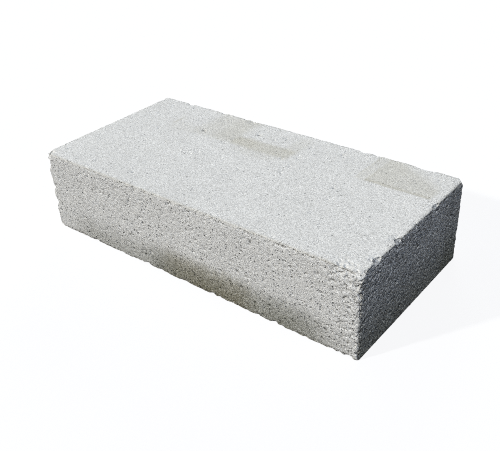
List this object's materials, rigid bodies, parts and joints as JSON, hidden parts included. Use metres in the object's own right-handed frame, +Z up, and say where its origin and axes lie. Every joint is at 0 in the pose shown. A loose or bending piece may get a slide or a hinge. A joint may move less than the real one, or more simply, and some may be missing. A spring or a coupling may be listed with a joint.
{
  "type": "fly ash brick",
  "caption": "Solid rectangular fly ash brick with worn arrises, chipped upper corners and a matte sandy grey surface, laid in mortar in walls.",
  "frame": {"origin": "middle of the lower bed face, on the floor that the brick lies on", "axes": "+X along the length towards the end with the two knocked-off corners, +Y along the width towards the spalled rear arris, +Z up"},
  "size_m": [0.39, 0.19, 0.09],
  "materials": {
    "fly_ash_mix": "matte"
  },
  "bodies": {
    "root": {"brick": "fly_ash_mix"}
  },
  "joints": []
}
